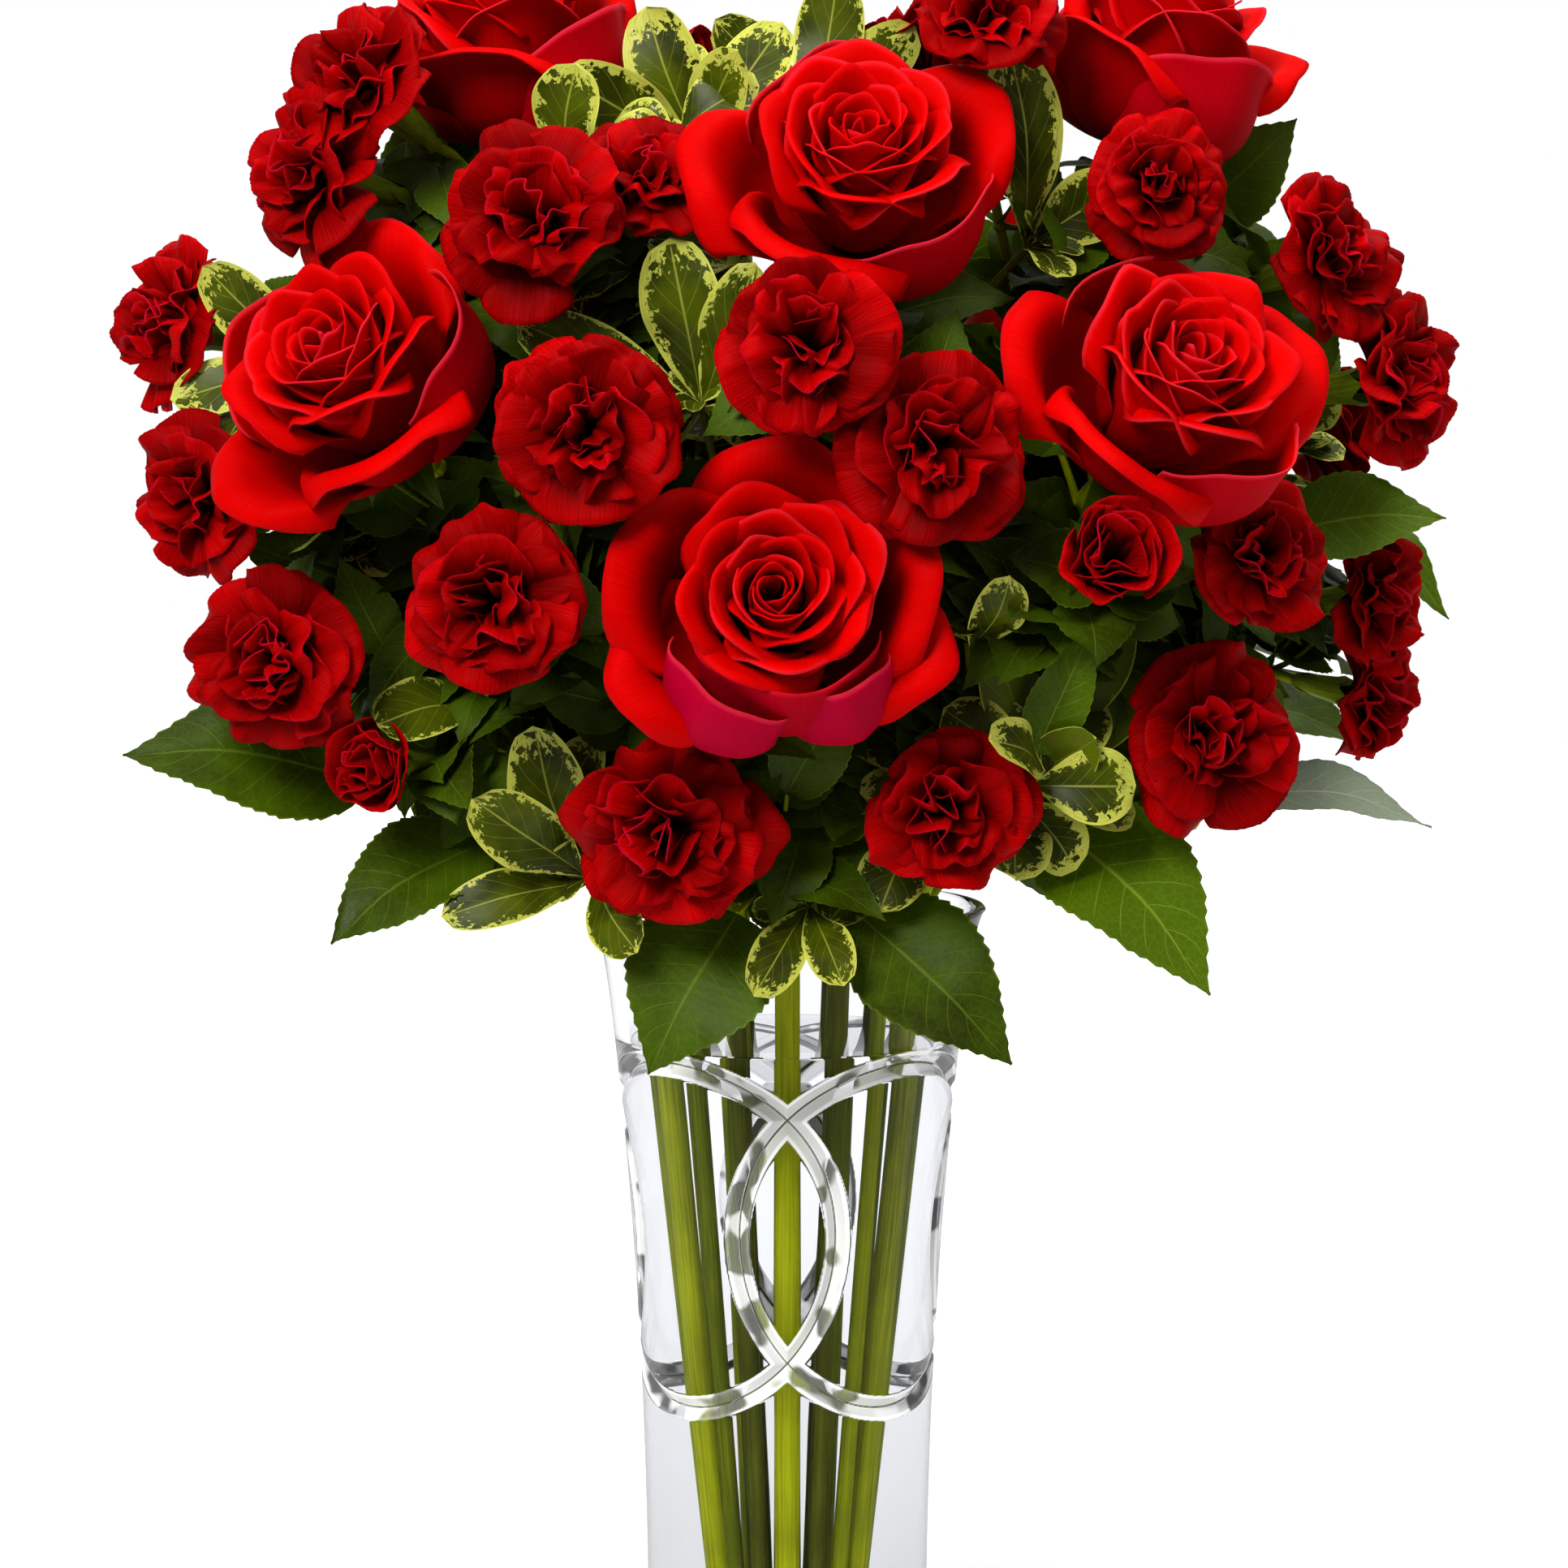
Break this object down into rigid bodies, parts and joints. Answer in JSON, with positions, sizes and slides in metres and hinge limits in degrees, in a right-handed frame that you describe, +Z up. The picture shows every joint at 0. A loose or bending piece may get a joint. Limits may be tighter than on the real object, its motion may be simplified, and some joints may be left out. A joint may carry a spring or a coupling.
{
  "type": "flower arrangement in a vase",
  "caption": "Round bouquet of red roses and carnations with rose leaves and variegated pittosporum, standing in water in a flared cut-glass vase.",
  "frame": {"origin": "centre of the vase's flat foot, on the surface it stands on", "axes": "+Z up along the vase's axis, -Y towards the front of the bouquet, +X to the right seen from the front"},
  "size_m": [0.3599, 0.2858, 0.4726],
  "materials": {
    "glass": "clear, polished, with V-cut circles",
    "water": "clear",
    "rose_petal": "velvety",
    "carnation_petal": "matt, crumpled",
    "rose_green": "satin",
    "carnation_green": "satin",
    "sprig_green": "satin, cream-edged"
  },
  "bodies": {
    "root": {"rose_top_left": "rose_petal", "rose_top_left_stem": "rose_green", "rose_top": "rose_petal", "rose_top_stem": "rose_green", "rose_top_right": "rose_petal", "rose_top_right_stem": "rose_green", "rose_left": "rose_petal", "rose_left_stem": "rose_green", "rose_front": "rose_petal", "rose_front_stem": "rose_green", "rose_right": "rose_petal", "rose_right_stem": "rose_green", "rose_back_left": "rose_petal", "rose_back_left_stem": "rose_green", "rose_back_right": "rose_petal", "rose_back_right_stem": "rose_green", "rose_back": "rose_petal", "rose_back_stem": "rose_green", "carnation_upper_left_a": "carnation_petal", "carnation_upper_left_c": "carnation_petal", "spray_upper_left": "carnation_green", "carnation_lower_left_a": "carnation_petal", "carnation_lower_left_b": "carnation_petal", "carnation_lower_left_c": "carnation_petal", "spray_lower_left": "carnation_green", "carnation_centre_left_a": "carnation_petal", "carnation_centre_left_c": "carnation_petal", "carnation_centre_left_d": "carnation_petal", "carnation_centre_left_e": "carnation_petal", "spray_centre_left": "carnation_green", "carnation_centre_right_a": "carnation_petal", "carnation_centre_right_c": "carnation_petal", "carnation_centre_right_d": "carnation_petal", "spray_centre_right": "carnation_green", "carnation_upper_right_a": "carnation_petal", "carnation_upper_right_b": "carnation_petal", "carnation_upper_right_c": "carnation_petal", "spray_upper_right": "carnation_green", "carnation_lower_right_a": "carnation_petal", "carnation_lower_right_b": "carnation_petal", "carnation_lower_right_d": "carnation_petal", "spray_lower_right": "carnation_green", "carnation_back_left_a": "carnation_petal", "carnation_back_left_b": "carnation_petal", "carnation_back_left_c": "carnation_petal", "carnation_back_left_d": "carnation_petal", "spray_back_left": "carnation_green", "carnation_back_right_a": "carnation_petal", "carnation_back_right_b": "carnation_petal", "carnation_back_right_c": "carnation_petal", "carnation_back_right_d": "carnation_petal", "spray_back_right": "carnation_green", "sprig_top": "sprig_green", "sprig_left": "sprig_green", "sprig_front_left": "sprig_green", "sprig_front_right": "sprig_green", "sprig_right": "sprig_green", "sprig_back": "sprig_green", "vase": "glass", "water": "water"}
  },
  "joints": []
}
